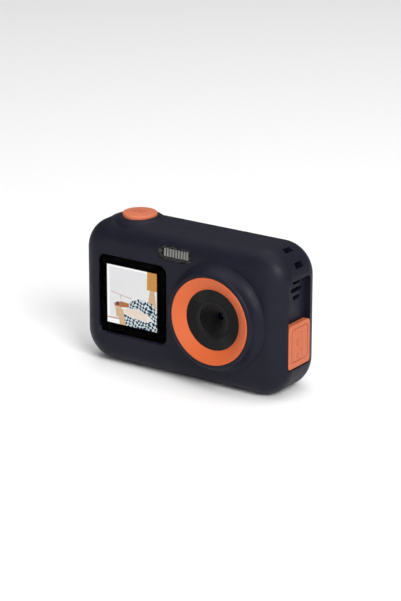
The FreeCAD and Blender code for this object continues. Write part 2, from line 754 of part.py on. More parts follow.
def short_screws():
    screws = [short_screw(x, z, BOARD_REAR_Y, -1) for x, z in BOARD_POSTS]
    screws += [short_screw(x, z, BOARD_REAR_Y, -1) for x, z in LENS_HOLDER_SCREWS]
    screws += [short_screw(x, z, TRAY_FRONT_Y + 0.8, -1) for x, z in TRAY_POSTS]
    screws += [short_screw(x, z, 9.3, 1) for x, z in FRAME_POSTS]
    screws += [short_screw(x, z, KEY_BOARD_FRONT_Y, 1) for x, z in KEY_POSTS]
    return Part.makeCompound(screws)


# ---------------------------------------------------------------- displays

def front_window():
    y0 = FRONT_Y + SCREEN_SINK
    glass = plate(SCREEN_X, SCREEN_Z, SCREEN_WIDTH, SCREEN_HEIGHT, SCREEN_CORNER - FIT_GAP, y0, y0 + GLASS)
    return glass.makeFillet(0.25, rim_edges(glass, y0))


def front_display():
    y0 = FRONT_Y + SCREEN_SINK + GLASS + 0.1
    return plate(FRONT_LCD_X, SCREEN_Z, FRONT_LCD_WIDTH, FRONT_LCD_HEIGHT, 0.4, y0, TRAY_FRONT_Y - 0.05)


def front_display_flex():
    right = FRONT_LCD_X + FRONT_LCD_WIDTH / 2
    return ribbon([(right + 0.1, -11.1), (-3.8, -11.1), (-3.8, -1.9), (-3.3, -1.9)], 0.2, 24.0, 33.4, False)


def rear_window():
    y1 = REAR_Y - SCREEN_SINK
    glass = plate(
        REAR_SCREEN_X, SCREEN_Z, REAR_SCREEN_WIDTH, REAR_SCREEN_HEIGHT, SCREEN_CORNER - FIT_GAP,
        y1 - GLASS, y1,
    )
    return glass.makeFillet(0.25, rim_edges(glass, y1))


def rear_display():
    y1 = REAR_Y - SCREEN_SINK - GLASS - 0.1
    return plate(REAR_SCREEN_X, SCREEN_Z, REAR_LCD_WIDTH, REAR_LCD_HEIGHT, 0.4, 10.45, y1)


def rear_display_flex():
    bottom = SCREEN_Z - REAR_LCD_HEIGHT / 2
    return ribbon([(11.0, bottom - 0.1), (11.0, 9.2), (1.5, 9.2), (1.5, 11.4)], 0.2, 2.2, 7.4, True)


def rear_display_frame():
    """A moulded frame that presses the rear display against its window."""
    width, height = REAR_LCD_WIDTH + 5.0, REAR_LCD_HEIGHT + 1.2
    frame = plate(REAR_SCREEN_X, SCREEN_Z, width, height, 1.0, FRAME_FRONT_Y, FRAME_REAR_Y)
    for x, z in FRAME_POSTS:
        edge_z = SCREEN_Z + math.copysign(height / 2 - 0.3, z - SCREEN_Z)
        ear = rod(x, z, FRAME_EAR, FRAME_FRONT_Y, FRAME_REAR_Y)
        arm = box(
            x - FRAME_EAR, x + FRAME_EAR, FRAME_FRONT_Y, FRAME_REAR_Y, min(z, edge_z), max(z, edge_z)
        )
        frame = frame.fuse([ear, arm])
    window = plate(
        REAR_SCREEN_X, SCREEN_Z, width - 13.6, height - 12.6, 2.0, FRAME_FRONT_Y - 1, FRAME_REAR_Y + 1
    )
    frame = frame.cut(window)
    for x, z in FRAME_POSTS:
        frame = frame.cut(screw_hole(x, z, 0.15, FRAME_FRONT_Y - 1, FRAME_REAR_Y + 1))
    return frame.removeSplitter()


# ---------------------------------------------------------------- battery

def battery_tray():
    tray = box(TRAY_LEFT, TRAY_RIGHT, TRAY_FRONT_Y, TRAY_REAR_Y, TRAY_BOTTOM, TRAY_TOP)
    tray = round_edges(tray, 1.5, ALONG_Y)
    well = box(
        TRAY_LEFT + TRAY_WALL, TRAY_RIGHT - TRAY_WALL, TRAY_FRONT_Y + 0.8, TRAY_REAR_Y + 1,
        TRAY_BOTTOM + TRAY_WALL, TRAY_TOP - TRAY_WALL,
    )
    tray = tray.cut(well)
    for x, z in TRAY_POSTS:
        inner_z = TRAY_BOTTOM + 0.5 if z < SCREEN_Z else TRAY_TOP - 0.5
        ear = rod(x, z, 1.9, TRAY_FRONT_Y, TRAY_FRONT_Y + 0.8)
        arm = box(x - 1.9, x + 1.9, TRAY_FRONT_Y, TRAY_FRONT_Y + 0.8, min(z, inner_z), max(z, inner_z))
        tray = tray.fuse([ear, arm])
        tray = tray.cut(screw_hole(x, z, 0.15, -12, -9))
    for x in (-31.5, -22.5):
        tray = tray.fuse(Part.makeCylinder(1.2, 1.7, V(x, -5.0, TRAY_TOP - 0.1), ALONG_Z))
    lead_notch = box(-14.0, -4.0, -6.0, TRAY_REAR_Y + 1, TRAY_TOP - 2, TRAY_TOP + 2)
    return tray.cut(lead_notch).removeSplitter()


def battery():
    cell = box(TRAY_LEFT + 1.3, TRAY_RIGHT - 1.3, -9.5, 1.4, TRAY_BOTTOM + 1.3, TRAY_TOP - 1.3)
    cell = round_edges(cell, 2.0, ALONG_X)
    lip = box(TRAY_LEFT + 6, TRAY_RIGHT - 4, -5.5, -2.5, TRAY_TOP - 1.4, TRAY_TOP - 1.05)
    return cell.fuse(lip).removeSplitter()


def battery_leads():
    """Two insulated wires from the cell to the board's connector."""
    lead_y, plug_y = -4.2, -3.4
    turn_x, plug_x = -2.4, -1.65
    leads = []
    for i in range(2):
        start_x = -12.2 + 2.0 * i
        turn_z = TRAY_TOP + 1.0
        plug_z = 41.0 - 1.6 * i
        points = [
            V(start_x, lead_y, TRAY_TOP - 1.0),
            V(start_x, lead_y, turn_z),
            V(turn_x, plug_y, turn_z - 1.2 * i),
            V(turn_x, plug_y, plug_z),
            V(plug_x, plug_y, plug_z),
        ]
        pieces = []
        for start, end in zip(points, points[1:]):
            run = end - start
            pieces.append(Part.makeCylinder(LEAD_RADIUS, run.Length, start, run))
        pieces += [Part.makeSphere(LEAD_RADIUS + 0.06, p) for p in points[1:-1]]
        leads.append(pieces[0].fuse(pieces[1:]).removeSplitter())
    return Part.makeCompound(leads)


# ---------------------------------------------------------------- rear keys

def rear_key(x, z, radius):
    top_y = REAR_Y + KEY_PROUD
    return turned(
        (0, FLANGE_FRONT_Y - 0.18),
        [
            (0.8, FLANGE_FRONT_Y - 0.18),
            (0.8, FLANGE_FRONT_Y),
            (radius + FLANGE_EXTRA, FLANGE_FRONT_Y),
            (radius + FLANGE_EXTRA, FLANGE_REAR_Y),
            (radius, FLANGE_REAR_Y),
            (radius, top_y - 0.45),
            ((radius - 0.12, top_y - 0.15), (radius - 0.45, top_y - 0.04)),
            dome(radius - 0.45, top_y - 0.04, top_y + 0.05),
        ],
        x, z,
    )


def key_board():
    board = box(-37.6, -14.4, KEY_BOARD_FRONT_Y, KEY_BOARD_REAR_Y, 10.2, 46.8)
    board = round_edges(board, 1.5, ALONG_Y)
    for x, z in KEY_POSTS:
        board = board.cut(screw_hole(x, z, 0.15, 8, 10))
    return board


def key_switches():
    switches = []
    for name, x, z, radius in KEYS:
        can = plate(x, z, 3.6, 3.6, 0.4, KEY_BOARD_REAR_Y, SWITCH_TOP_Y - 0.25)
        dome = rod(x, z, 1.1, SWITCH_TOP_Y - 0.25, SWITCH_TOP_Y)
        switches.append(can.fuse(dome))
    return Part.makeCompound(switches)


def key_flex():
    return ribbon([(8.5, 14.0), (8.5, 9.0), (7.0, 9.0), (7.0, 9.8)], 0.2, -30.0, -20.0, True)


def microphone():
    return rod(MIC_X, MIC_Z, 1.5, KEY_BOARD_REAR_Y, 11.4)


def status_light():
    return rod(STATUS_X, STATUS_Z, STATUS_RADIUS, KEY_BOARD_REAR_Y, REAR_Y - 0.05)


# ---------------------------------------------------------------- shutter

def shutter_button():
    top = SHUTTER_TOP_Z
    return turned_upright(
        (0, 52.9),
        [
            (1.2, 52.9),
            (1.2, 53.9),
            (7.7, 53.9),
            (7.7, 54.85),
            (SHUTTER_RADIUS, 54.85),
            (SHUTTER_RADIUS, top - 0.45),
            ((SHUTTER_RADIUS - 0.13, top - 0.13), (SHUTTER_RADIUS - 0.45, top)),
            dome(SHUTTER_RADIUS - 0.45, top, top + 0.3),
        ],
        SHUTTER_X, SHUTTER_Y,
    )


def shutter_spring():
    """The return spring, between the small board and the button's flange."""
    radius, wire_radius, bottom, top, coils = 4.7, 0.22, 48.65, 53.65, 5
    helix = Part.makeHelix((top - bottom) / coils, top - bottom, radius)
    section = Part.Wire(Part.Circle(V(radius, 0, 0), V(0, 1, 0), wire_radius).toShape())
    spring = Part.Wire(helix.Edges).makePipeShell([section], True, True)
    spring.translate(V(SHUTTER_X, SHUTTER_Y, bottom))
    return spring


def shutter_plunger():
    return Part.makeCylinder(1.4, 2.0, V(SHUTTER_X, SHUTTER_Y, 50.9), ALONG_Z)


def shutter_switch():
    body = box(SHUTTER_X - 3, SHUTTER_X + 3, SHUTTER_Y - 3, SHUTTER_Y + 3, 48.4, 51.6)
    body = round_edges(body, 0.4, ALONG_Z)
    return body.cut(Part.makeCylinder(1.5, 2.0, V(SHUTTER_X, SHUTTER_Y, 49.8), ALONG_Z))


def shutter_board():
    board = box(-33.6, -20.4, -7.0, 4.5, 47.6, 48.4)
    return round_edges(board, 1.0, ALONG_Z)


# ---------------------------------------------------------------- lamp

def lamp_rim():
    """A hairline raised edge round the lamp opening, following the rounded front."""
    outer = pill(LAMP_X, LAMP_Z, LAMP_LENGTH + 0.9, LAMP_HEIGHT + 0.9, -16, -11.4)
    return outer.common(body_form(0.1))


def lamp_window():
    blank = pill(LAMP_X, LAMP_Z, LAMP_LENGTH, LAMP_HEIGHT, -16, -12.35)
    return blank.common(body_form(-0.08))


def lamp_light_guide():
    guide = pill(LAMP_X, LAMP_Z, 13.6, 3.8, -11.3, -10.7)
    first = LAMP_X - BAR_PITCH * (BAR_COUNT - 1) / 2
    for i in range(BAR_COUNT):
        x = first + i * BAR_PITCH
        bar = box(
            x - BAR_WIDTH / 2, x + BAR_WIDTH / 2, BAR_FRONT_Y, -11.3,
            LAMP_Z - BAR_HEIGHT / 2, LAMP_Z + BAR_HEIGHT / 2,
        )
        guide = guide.fuse(bar)
    return guide.removeSplitter()


def lamp_reflector():
    outer = pill(LAMP_X, LAMP_Z, LAMP_LENGTH, LAMP_HEIGHT, -12.3, -9.2)
    well = pill(LAMP_X, LAMP_Z, 13.8, 4.0, -13, -9)
    return outer.cut(well)


def lamp_board():
    board = plate(LAMP_X, LAMP_Z, 17.0, 5.6, 0.5, -9.15, -8.35)
    leds = [plate(LAMP_X + dx, LAMP_Z, 2.8, 2.8, 0.2, -9.9, -9.15) for dx in (-4.2, 0, 4.2)]
    return board.fuse(leds).removeSplitter()


# ---------------------------------------------------------------- ports and their cover

def port_cover():
    """The flap: flush with the side, with a knuckle at its lower edge and an engraved border."""
    y0, y1 = RECESS_FRONT_Y + FIT_GAP, RECESS_REAR_Y - FIT_GAP
    flap = box(COVER_BACK_X, SIDE_X + 1, y0, y1, PIN_Z, COVER_TOP_Z)
    face = box(40, 50, y0, y1, RECESS_BOTTOM_Z + FIT_GAP, COVER_TOP_Z)
    knuckle = rod(PIN_X, PIN_Z, KNUCKLE_RADIUS, y0, y1)
    web = box(COVER_BACK_X, SIDE_X, y0, y1, PIN_Z, PIN_Z + 1.0)
    flap = flap.fuse([knuckle, web]).common(body_form()).common(round_edges(face, 2.0, ALONG_X))
    borders = []
    for inset, corner, depth in (
        (BORDER_INSET, 1.4, BORDER_DEPTH), (BORDER_INSET + BORDER_WIDTH, 1.1, 2 * BORDER_DEPTH)
    ):
        block = box(
            SIDE_X - depth, SIDE_X + 1, y0 + inset, y1 - inset,
            RECESS_BOTTOM_Z + 1.4 + inset, COVER_TOP_Z - 0.2 - inset,
        )
        borders.append(round_edges(block, corner, ALONG_X))
    flap = flap.cut(borders[0].cut(borders[1]))
    return flap.cut(pin_hole(PIN_RADIUS + 0.05, RECESS_FRONT_Y - 4, RECESS_REAR_Y + 6)).removeSplitter()


def port_cover_seal():
    pad = box(43.6, COVER_BACK_X, -6.8, 4.8, 14.4, 27.6)
    pad = round_edges(pad, 1.5, ALONG_X)
    plug = box(43.0, 43.7, USB_Y - 1.2, USB_Y + 1.2, USB_Z - 4.0, USB_Z + 4.0)
    return pad.fuse(round_edges(plug, 1.1, ALONG_X)).removeSplitter()


def port_cover_pin():
    return pin_hole(PIN_RADIUS, RECESS_FRONT_Y - 0.45, RECESS_REAR_Y + 1.15)


def usb_socket():
    """A reversible socket: a stamped shell round a contact tongue, open towards the side."""
    x0, x1 = 34.2, RECESS_BACK_X
    half_y, half_z = USB_THICK / 2, USB_LENGTH / 2
    shell = box(x0, x1, USB_Y - half_y, USB_Y + half_y, USB_Z - half_z, USB_Z + half_z)
    half_y, half_z = half_y - USB_SHELL, half_z - USB_SHELL
    hollow = box(x0 + 1.5, x1 + 1, USB_Y - half_y, USB_Y + half_y, USB_Z - half_z, USB_Z + half_z)
    shell = round_edges(shell, 1.5, ALONG_X).cut(round_edges(hollow, 1.25, ALONG_X))
    tongue = box(x0 + 1, x1 - 0.6, USB_Y - 0.35, USB_Y + 0.35, USB_Z - 3.35, USB_Z + 3.35)
    return shell.fuse(tongue)


def card_socket():
    shell = box(26.2, 41.0, BOARD_REAR_Y, 2.1, CARD_Z - 6.4, CARD_Z + 6.4)
    channel = box(
        26.2, 42, CARD_Y - CARD_THICK / 2 - 0.1, CARD_Y + CARD_THICK / 2 + 0.1,
        CARD_Z - CARD_WIDTH / 2 - 0.1, CARD_Z + CARD_WIDTH / 2 + 0.1,
    )
    return shell.cut(channel)


def memory_card():
    card = box(
        CARD_END_X - CARD_LENGTH, CARD_END_X, CARD_Y - CARD_THICK / 2, CARD_Y + CARD_THICK / 2,
        CARD_Z - CARD_WIDTH / 2, CARD_Z + CARD_WIDTH / 2,
    )
    return round_edges(card, 0.35, ALONG_Y)


def speaker():
    frame = box(37.6, 41.2, -5.2, 5.2, 35.4, 45.6)
    frame = round_edges(frame, 1.5, ALONG_X)
    cone = Part.makeCone(1.6, 4.2, 1.2, V(40.3, 0, 40.5), ALONG_X)
    return frame.cut(cone)


# ---------------------------------------------------------------- the whole camera

PARTS = {
    "front_shell": front_shell,
    "rear_shell": rear_shell,
    "shell_gasket": shell_gasket,
    "case_screws": case_screws,
    "tripod_insert": tripod_insert,
    "lens_ring": lens_ring,
    "lens_bezel": lens_bezel,
    "lens_gasket": lens_gasket,
    "lens_baffle": lens_baffle,
    "lens_barrel": lens_barrel,
    "lens_front_element": lens_front_element,
    "lens_rear_elements": lens_rear_elements,
    "lens_holder": lens_holder,
    "infrared_filter": infrared_filter,
    "image_sensor": image_sensor,
    "main_board": main_board,
    "board_chips": board_chips,
    "shield_can": shield_can,
    "board_connectors": board_connectors,
    "short_screws": short_screws,
    "front_window": front_window,
    "front_display": front_display,
    "front_display_flex": front_display_flex,
    "rear_window": rear_window,
    "rear_display": rear_display,
    "rear_display_flex": rear_display_flex,
    "rear_display_frame": rear_display_frame,
    "battery_tray": battery_tray,
    "battery": battery,
    "battery_leads": battery_leads,
    "key_board": key_board,
    "key_switches": key_switches,
    "key_flex": key_flex,
    "microphone": microphone,
    "status_light": status_light,
    "shutter_button": shutter_button,
    "shutter_spring": shutter_spring,
    "shutter_plunger": shutter_plunger,
    "shutter_switch": shutter_switch,
    "shutter_board": shutter_board,
    "lamp_window": lamp_window,
    "lamp_light_guide": lamp_light_guide,
    "lamp_reflector": lamp_reflector,
    "lamp_board": lamp_board,
    "port_cover": port_cover,
    "port_cover_seal": port_cover_seal,
    "port_cover_pin": port_cover_pin,
    "usb_socket": usb_socket,
    "card_socket": card_socket,
    "memory_card": memory_card,
    "speaker": speaker,
}


def main():
    os.makedirs("parts", exist_ok=True)
    for name, make in PARTS.items():
        make().exportStep("parts/" + name + ".step")
    for name, x, z, radius in KEYS:
        rear_key(x, z, radius).exportStep("parts/" + name + ".step")


main()
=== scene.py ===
import json
import math

import bmesh
import bpy
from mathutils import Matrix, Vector
from mathutils.bvhtree import BVHTree

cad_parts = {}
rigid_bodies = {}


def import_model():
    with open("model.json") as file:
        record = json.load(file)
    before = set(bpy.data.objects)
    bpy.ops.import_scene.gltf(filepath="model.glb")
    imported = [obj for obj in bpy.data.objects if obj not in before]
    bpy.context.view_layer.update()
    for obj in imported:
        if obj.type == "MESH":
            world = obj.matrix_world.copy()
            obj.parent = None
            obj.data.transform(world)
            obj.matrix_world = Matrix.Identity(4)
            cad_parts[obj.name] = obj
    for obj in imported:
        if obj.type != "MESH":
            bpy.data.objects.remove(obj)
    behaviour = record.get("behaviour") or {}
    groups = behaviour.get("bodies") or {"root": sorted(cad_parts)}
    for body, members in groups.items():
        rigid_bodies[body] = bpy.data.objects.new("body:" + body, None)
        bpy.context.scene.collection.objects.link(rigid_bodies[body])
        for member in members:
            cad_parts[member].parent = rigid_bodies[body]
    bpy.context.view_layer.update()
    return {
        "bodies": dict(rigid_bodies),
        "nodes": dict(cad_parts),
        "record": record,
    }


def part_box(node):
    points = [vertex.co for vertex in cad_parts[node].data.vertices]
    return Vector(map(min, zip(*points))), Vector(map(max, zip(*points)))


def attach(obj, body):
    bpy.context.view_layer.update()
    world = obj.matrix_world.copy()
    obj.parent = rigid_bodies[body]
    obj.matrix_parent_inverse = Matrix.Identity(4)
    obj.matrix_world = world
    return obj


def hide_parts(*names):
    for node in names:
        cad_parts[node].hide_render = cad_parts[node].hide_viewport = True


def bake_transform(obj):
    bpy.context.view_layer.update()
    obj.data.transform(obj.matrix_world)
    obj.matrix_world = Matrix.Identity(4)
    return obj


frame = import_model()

MM = 0.001

# The view: at a point inside the body, from the front right and above. Azimuth and elevation as angles,
# distance in metres, lens in millimetres, shift as a part of the picture's longer side.
VIEW_TARGET = Vector((0.0, 0.0, 0.027))
VIEW_AZIMUTH = math.radians(34.67)
VIEW_ELEVATION = math.radians(18.84)
VIEW_DISTANCE = 0.957
VIEW_LENS = 151.07
VIEW_SHIFT = (0.0024, 0.0055)

# Colours, as linear values from 0 to 1
WHITE = (1.0, 1.0, 1.0)
NAVY = (0.0085, 0.0083, 0.0165)
RING_ORANGE = (0.54, 0.105, 0.030)
BUTTON_ORANGE = (0.57, 0.155, 0.075)
COVER_ORANGE = (0.49, 0.120, 0.050)
ICON_ORANGE = (0.34, 0.06, 0.02)
PRINT_GREY = (0.42, 0.42, 0.44)
BAR_GREY = (0.62, 0.62, 0.60)
FLOOR_WHITE = (0.93, 0.93, 0.93)

# Displays: their lit fields, the windows' corners and clearance, and the picture's glow and thin layers
FRONT_ACTIVE = 23.4 * MM
REAR_ACTIVE = (40.8 * MM, 30.6 * MM)
WINDOW_CORNER = 2.8 * MM
WINDOW_GAP = 0.1 * MM
PANEL_CORNER = 0.05 * MM
PICTURE_GLOW = 0.95
PATCH_STEP = 0.002 * MM
PATCH_THICK = 0.001 * MM

# Checked cloth on the picture: turn, checks and folds to the metre, and how far a fold pulls a check
CLOTH_TURN = math.radians(28.0)
CLOTH_CHECKS = 980.0
CLOTH_FOLDS = 260.0
CLOTH_PULL = 0.0034

# Where prints and picture lie in the gap behind a window, as parts of the gap
FRONT_PRINT = (0.15, 0.45)
REAR_PRINT = (0.5, 0.2)
PICTURE_LIFT = 0.10

# Lamp: the bar fronts glow as painted light in place of the studio light on them; how deep that glow
# reaches behind the fronts of the bars, and how strong it is
BAR_FRONT = 0.12 * MM
BAR_PAINTED_GLOW = 0.42

# Signs: how far they stand out of the surface, how deep they are rooted in it, and how far off the ray
# that looks for the surface starts
MARK_HEIGHT = 0.03 * MM
MARK_ROOT = 0.05 * MM
CAST_START = 0.2

# Studio: place and side in metres and power in watts of each square softbox
SOFTBOXES = {
    "key_light": ((0.80, -0.48, 0.66), 0.50, 11.0),
    "fill_light": ((0.20, -1.00, 0.22), 0.50, 2.0),
    "top_light": ((0.0, 0.10, 1.30), 1.60, 15.0),
}
ROOM_STRENGTH = 0.2
FLOOR_HALF_SIZE = 3.0


# ---------------------------------------------------------------- node helpers

class Graph:
    """A material's nodes, with the main shader ready and short calls to add what feeds it."""

    def __init__(self, name):
        self.material = bpy.data.materials.new(name)
        self.material.use_nodes = True
        self.nodes = self.material.node_tree.nodes
        self.links = self.material.node_tree.links
        self.shader = self.nodes["Principled BSDF"]
        self.place = self.nodes.new("ShaderNodeTexCoord").outputs["Object"]

    def set(self, **values):
        """Values on the main shader's own sockets, with _ for the spaces in their names."""
        for name, value in values.items():
            self.shader.inputs[name.replace("_", " ")].default_value = value

    def link(self, output, input_name):
        """Feeds one of the main shader's sockets."""
        self.links.new(output, self.shader.inputs[input_name])

    def noise(self, scale, detail=3.0):
        """Even noise, with that many cells to the metre."""
        node = self.nodes.new("ShaderNodeTexNoise")
        node.inputs["Scale"].default_value = scale
        node.inputs["Detail"].default_value = detail
        self.links.new(self.place, node.inputs["Vector"])
        return node.outputs["Fac"]

    def spread(self, value, low, high, start=0.35, end=0.65):
        """A value between start and end, mapped to low and high."""
        node = self.nodes.new("ShaderNodeMapRange")
        node.inputs["From Min"].default_value = start
        node.inputs["From Max"].default_value = end
        node.inputs["To Min"].default_value = low
        node.inputs["To Max"].default_value = high
        self.links.new(value, node.inputs["Value"])
        return node.outputs["Result"]

    def mix(self, factor, first, second):
        """From the first colour to the second one."""
        node = self.nodes.new("ShaderNodeMix")
        node.data_type = "RGBA"
        self.links.new(factor, node.inputs["Factor"])
        for socket, colour in (("A", first), ("B", second)):
            slot = [i for i in node.inputs if i.name == socket and i.type == "RGBA"][0]
            slot.default_value = (*colour, 1.0)
        return [o for o in node.outputs if o.type == "RGBA"][0]

    def bump(self, height, distance, strength, below=None):
        """Relief that deep, in metres, on the shader or on top of the relief below it."""
        node = self.nodes.new("ShaderNodeBump")
        node.inputs["Strength"].default_value = strength
        node.inputs["Distance"].default_value = distance
        self.links.new(height, node.inputs["Height"])
        if below is not None:
            self.links.new(below, node.inputs["Normal"])
        self.links.new(node.outputs["Normal"], self.shader.inputs["Normal"])
        return node.outputs["Normal"]


def shade(colour, factor):
    """A colour made lighter or darker."""
    return tuple(min(1.0, c * factor) for c in colour)


# ---------------------------------------------------------------- materials

def soft_touch(name, colour, roughness=0.47, gloss=0.13):
    """Fine-grained soft-touch plastic: tiny pebble grain, faint cloudiness and handling marks."""
    g = Graph(name)
    g.set(Roughness=roughness, Specular_IOR_Level=gloss)
    cloud = g.noise(90.0, 4.0)
    g.link(g.mix(cloud, shade(colour, 0.90), shade(colour, 1.12)), "Base Color")
    g.link(g.spread(g.noise(260.0, 3.0), roughness - 0.05, roughness + 0.06), "Roughness")
    pebble = g.bump(g.noise(5200.0, 2.0), 0.000012, 0.55)
    g.bump(g.noise(1100.0, 2.0), 0.00001, 0.25, pebble)
    return g.material


def satin_plastic(name, colour, roughness, grain=0.3):
    """Dyed plastic with a satin skin: slight colour drift and a very fine grain."""
    g = Graph(name)
    g.set(Roughness=roughness, Specular_IOR_Level=0.25)
    g.link(g.mix(g.noise(150.0, 3.0), shade(colour, 0.95), shade(colour, 1.05)), "Base Color")
    g.link(g.spread(g.noise(420.0, 3.0), roughness - 0.04, roughness + 0.05), "Roughness")
    g.bump(g.noise(6500.0, 2.0), 0.000008, grain)
    return g.material


def gloss_plastic(name, colour, roughness):
    """Polished plastic with faint moulding ripple."""
    g = Graph(name)
    g.set(Roughness=roughness, Specular_IOR_Level=0.3)
    g.link(g.mix(g.noise(200.0, 3.0), shade(colour, 0.85), shade(colour, 1.2)), "Base Color")
    g.link(g.spread(g.noise(700.0, 4.0), roughness * 0.8, roughness * 1.3), "Roughness")
    g.bump(g.noise(320.0, 2.0), 0.000004, 0.3)
    return g.material


def turned_gloss(name, colour):
    """Black plastic with fine turned rings round its own axis, which draw a fan-shaped shine."""
    g = Graph(name)
    g.set(Roughness=0.40, Specular_IOR_Level=0.16, Anisotropic=0.9)
    around = g.nodes.new("ShaderNodeTangent")
    around.direction_type = "RADIAL"
    around.axis = "Y"
    g.link(around.outputs["Tangent"], "Tangent")
    g.link(g.mix(g.noise(300.0), shade(colour, 0.85), shade(colour, 1.2)), "Base Color")
    g.link(g.spread(g.noise(600.0), 0.38, 0.46), "Roughness")
    return g.material


def ink(name, colour):
    """Black print on the back of a window: no gloss of its own."""
    g = Graph(name)
    g.set(Roughness=0.9, Specular_IOR_Level=0.0)
    g.link(g.mix(g.noise(500.0), shade(colour, 0.8), shade(colour, 1.2)), "Base Color")
    return g.material


def optical_glass(name, tint, ior=1.15):
    """Clear coated glass, with the faintest unevenness in its gloss."""
    g = Graph(name)
    g.set(Transmission_Weight=1.0, IOR=ior, Roughness=0.0, Base_Color=(*tint, 1.0))
    g.link(g.spread(g.noise(300.0, 2.0), 0.0, 0.01), "Roughness")
    return g.material


def coated_lens(name):
    """Dark coated glass over a black barrel, with a faint violet bloom."""
    g = Graph(name)
    g.set(Roughness=0.1, Specular_IOR_Level=0.2, Coat_Weight=0.25, Coat_Tint=(0.75, 0.7, 1.0, 1.0))
    g.link(g.mix(g.noise(400.0), (0.004, 0.003, 0.010), (0.008, 0.005, 0.018)), "Base Color")
    return g.material


def metal(name, colour, roughness):
    """Bare metal with a fine, uneven grain."""
    g = Graph(name)
    g.set(Metallic=1.0, Roughness=roughness)
    g.link(g.mix(g.noise(500.0, 4.0), shade(colour, 0.82), shade(colour, 1.1)), "Base Color")
    g.link(g.spread(g.noise(900.0, 4.0), roughness * 0.75, roughness * 1.35), "Roughness")
    g.bump(g.noise(2600.0, 3.0), 0.00001, 0.35)
    return g.material


def solder_mask(name):
    """Printed circuit board: green mask with a hint of the copper tracks below it."""
    g = Graph(name)
    g.set(Roughness=0.35, Specular_IOR_Level=0.5)
    tracks = g.nodes.new("ShaderNodeTexVoronoi")
    tracks.distance = "CHEBYCHEV"
    tracks.inputs["Scale"].default_value = 620.0
    g.links.new(g.place, tracks.inputs["Vector"])
    edge = g.spread(tracks.outputs["Distance"], 0.0, 1.0, 0.25, 0.32)
    g.link(g.mix(edge, (0.008, 0.075, 0.035), (0.012, 0.12, 0.055)), "Base Color")
    g.bump(edge, 0.00002, 0.5)
    return g.material


def glow(name, colour, strength, grain=0.06):
    """A lit surface whose own colour carries the light."""
    g = Graph(name)
    g.set(Roughness=0.6, Specular_IOR_Level=0.1, Emission_Strength=strength)
    drift = g.mix(g.noise(900.0, 3.0), shade(colour, 1.0 - grain), shade(colour, 1.0 + grain))
    g.link(drift, "Emission Color")
    g.set(Base_Color=(*shade(colour, 0.05), 1.0))
    return g.material


def painted_glow_bars(name, colour, strength):
    """A frosted light guide whose bar fronts glow as painted light, standing in for the studio light
    falling on them; its own colour is nearly black, as painted shade, so the web behind stays dark.
    """
    g = Graph(name)
    # Painted shade: the whole light guide gets a nearly black colour of its own
    g.set(Roughness=0.5, Specular_IOR_Level=0.1, Base_Color=(*shade(colour, 0.03), 1.0))
    split = g.nodes.new("ShaderNodeSeparateXYZ")
    g.links.new(g.place, split.inputs["Vector"])
    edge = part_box("lamp_light_guide")[0].y + BAR_FRONT
    # Painted light: glow on the bar fronts only, fading out deeper in
    g.link(g.spread(split.outputs["Y"], strength, 0.0, edge, edge + BAR_FRONT), "Emission Strength")
    g.link(g.mix(g.noise(900.0, 3.0), shade(colour, 0.94), shade(colour, 1.06)), "Emission Color")
    return g.material


def plaid(name, dark, light, strength):
    """Checked cloth on the lit picture."""
    g = Graph(name)
    g.set(Roughness=0.6, Specular_IOR_Level=0.1, Emission_Strength=strength)
    turn = g.nodes.new("ShaderNodeMapping")
    turn.inputs["Rotation"].default_value = (0.0, CLOTH_TURN, 0.0)
    g.links.new(g.place, turn.inputs["Vector"])
    warp = g.nodes.new("ShaderNodeTexNoise")
    warp.inputs["Scale"].default_value = CLOTH_FOLDS
    g.links.new(g.place, warp.inputs["Vector"])
    bend = g.nodes.new("ShaderNodeVectorMath")
    bend.operation = "MULTIPLY_ADD"
    bend.inputs[1].default_value = (CLOTH_PULL, 0.0, CLOTH_PULL)
    g.links.new(warp.outputs["Color"], bend.inputs[0])
    g.links.new(turn.outputs["Vector"], bend.inputs[2])
    check = g.nodes.new("ShaderNodeTexChecker")
    check.inputs["Scale"].default_value = CLOTH_CHECKS
    check.inputs["Color1"].default_value = (*dark, 1.0)
    check.inputs["Color2"].default_value = (*light, 1.0)
    flat = g.nodes.new("ShaderNodeVectorMath")
    flat.operation = "MULTIPLY"
    flat.inputs[1].default_value = (1.0, 0.0, 1.0)
    g.links.new(bend.outputs["Vector"], flat.inputs[0])
    g.links.new(flat.outputs["Vector"], check.inputs["Vector"])
    g.link(check.outputs["Color"], "Emission Color")
    g.set(Base_Color=(*dark, 1.0))
    return g.material


